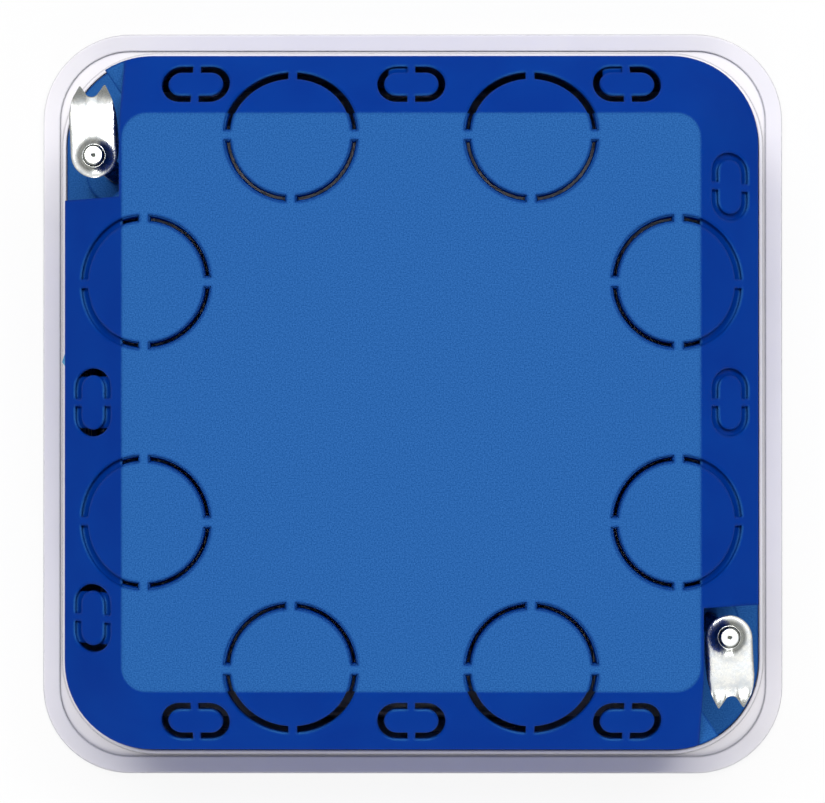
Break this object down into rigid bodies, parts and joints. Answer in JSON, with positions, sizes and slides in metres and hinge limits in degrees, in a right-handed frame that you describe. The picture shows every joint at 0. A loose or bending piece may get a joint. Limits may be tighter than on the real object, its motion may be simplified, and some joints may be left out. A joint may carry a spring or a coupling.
{
  "type": "hollow-wall junction box",
  "caption": "Square hollow-wall junction box with a sloped shoulder, ring and oblong knockouts, swing-out steel claws and a flat screwed lid.",
  "frame": {"origin": "centre of the lid's front face, which lies on the floor", "axes": "+Z from the lid's front face towards the back of the box, +Y towards the end with the upper left claw, +X towards its right seen from the back"},
  "size_m": [0.1172, 0.1172, 0.0488],
  "materials": {
    "blue_plastic": "fine spark-eroded grain on the back panel, gloss on the shoulder and walls",
    "white_plastic": "smooth moulded",
    "zinc_plated_steel": "bright zinc plate"
  },
  "bodies": {
    "box": {"box_body": "blue_plastic"},
    "lid_cover": {"lid": "white_plastic"},
    "screw_a": {"claw_screw_upper_left": "zinc_plated_steel"},
    "gripper_a": {"claw_upper_left": "zinc_plated_steel"},
    "screw_b": {"claw_screw_lower_right": "zinc_plated_steel"},
    "gripper_b": {"claw_lower_right": "zinc_plated_steel"},
    "lid_screw_a": {"lid_screw_upper_right": "zinc_plated_steel"},
    "lid_screw_b": {"lid_screw_lower_left": "zinc_plated_steel"}
  },
  "joints": [
    {"name": "lid_off", "type": "slide", "parent": "box", "child": "lid_cover", "axis": [0, 0, -1], "range_m": [0, 0.03]},
    {"name": "claw_swing_a", "type": "hinge", "parent": "box", "child": "screw_a", "pos_m": [-0.0467, 0.0363, 0.02], "axis": [0, 0, 1], "range_deg": [0, 90]},
    {"name": "claw_travel_a", "type": "slide", "parent": "screw_a", "child": "gripper_a", "axis": [0, 0, -1], "range_m": [0, 0.029]},
    {"name": "claw_swing_b", "type": "hinge", "parent": "box", "child": "screw_b", "pos_m": [0.0467, -0.0345, 0.02], "axis": [0, 0, 1], "range_deg": [0, 90]},
    {"name": "claw_travel_b", "type": "slide", "parent": "screw_b", "child": "gripper_b", "axis": [0, 0, -1], "range_m": [0, 0.029]},
    {"name": "lid_screw_turn_a", "type": "hinge", "parent": "lid_cover", "child": "lid_screw_a", "pos_m": [0.0433, 0.0433, 0.01], "axis": [0, 0, 1], "continuous": true},
    {"name": "lid_screw_turn_b", "type": "hinge", "parent": "lid_cover", "child": "lid_screw_b", "pos_m": [-0.0433, -0.0433, 0.01], "axis": [0, 0, 1], "continuous": true}
  ]
}
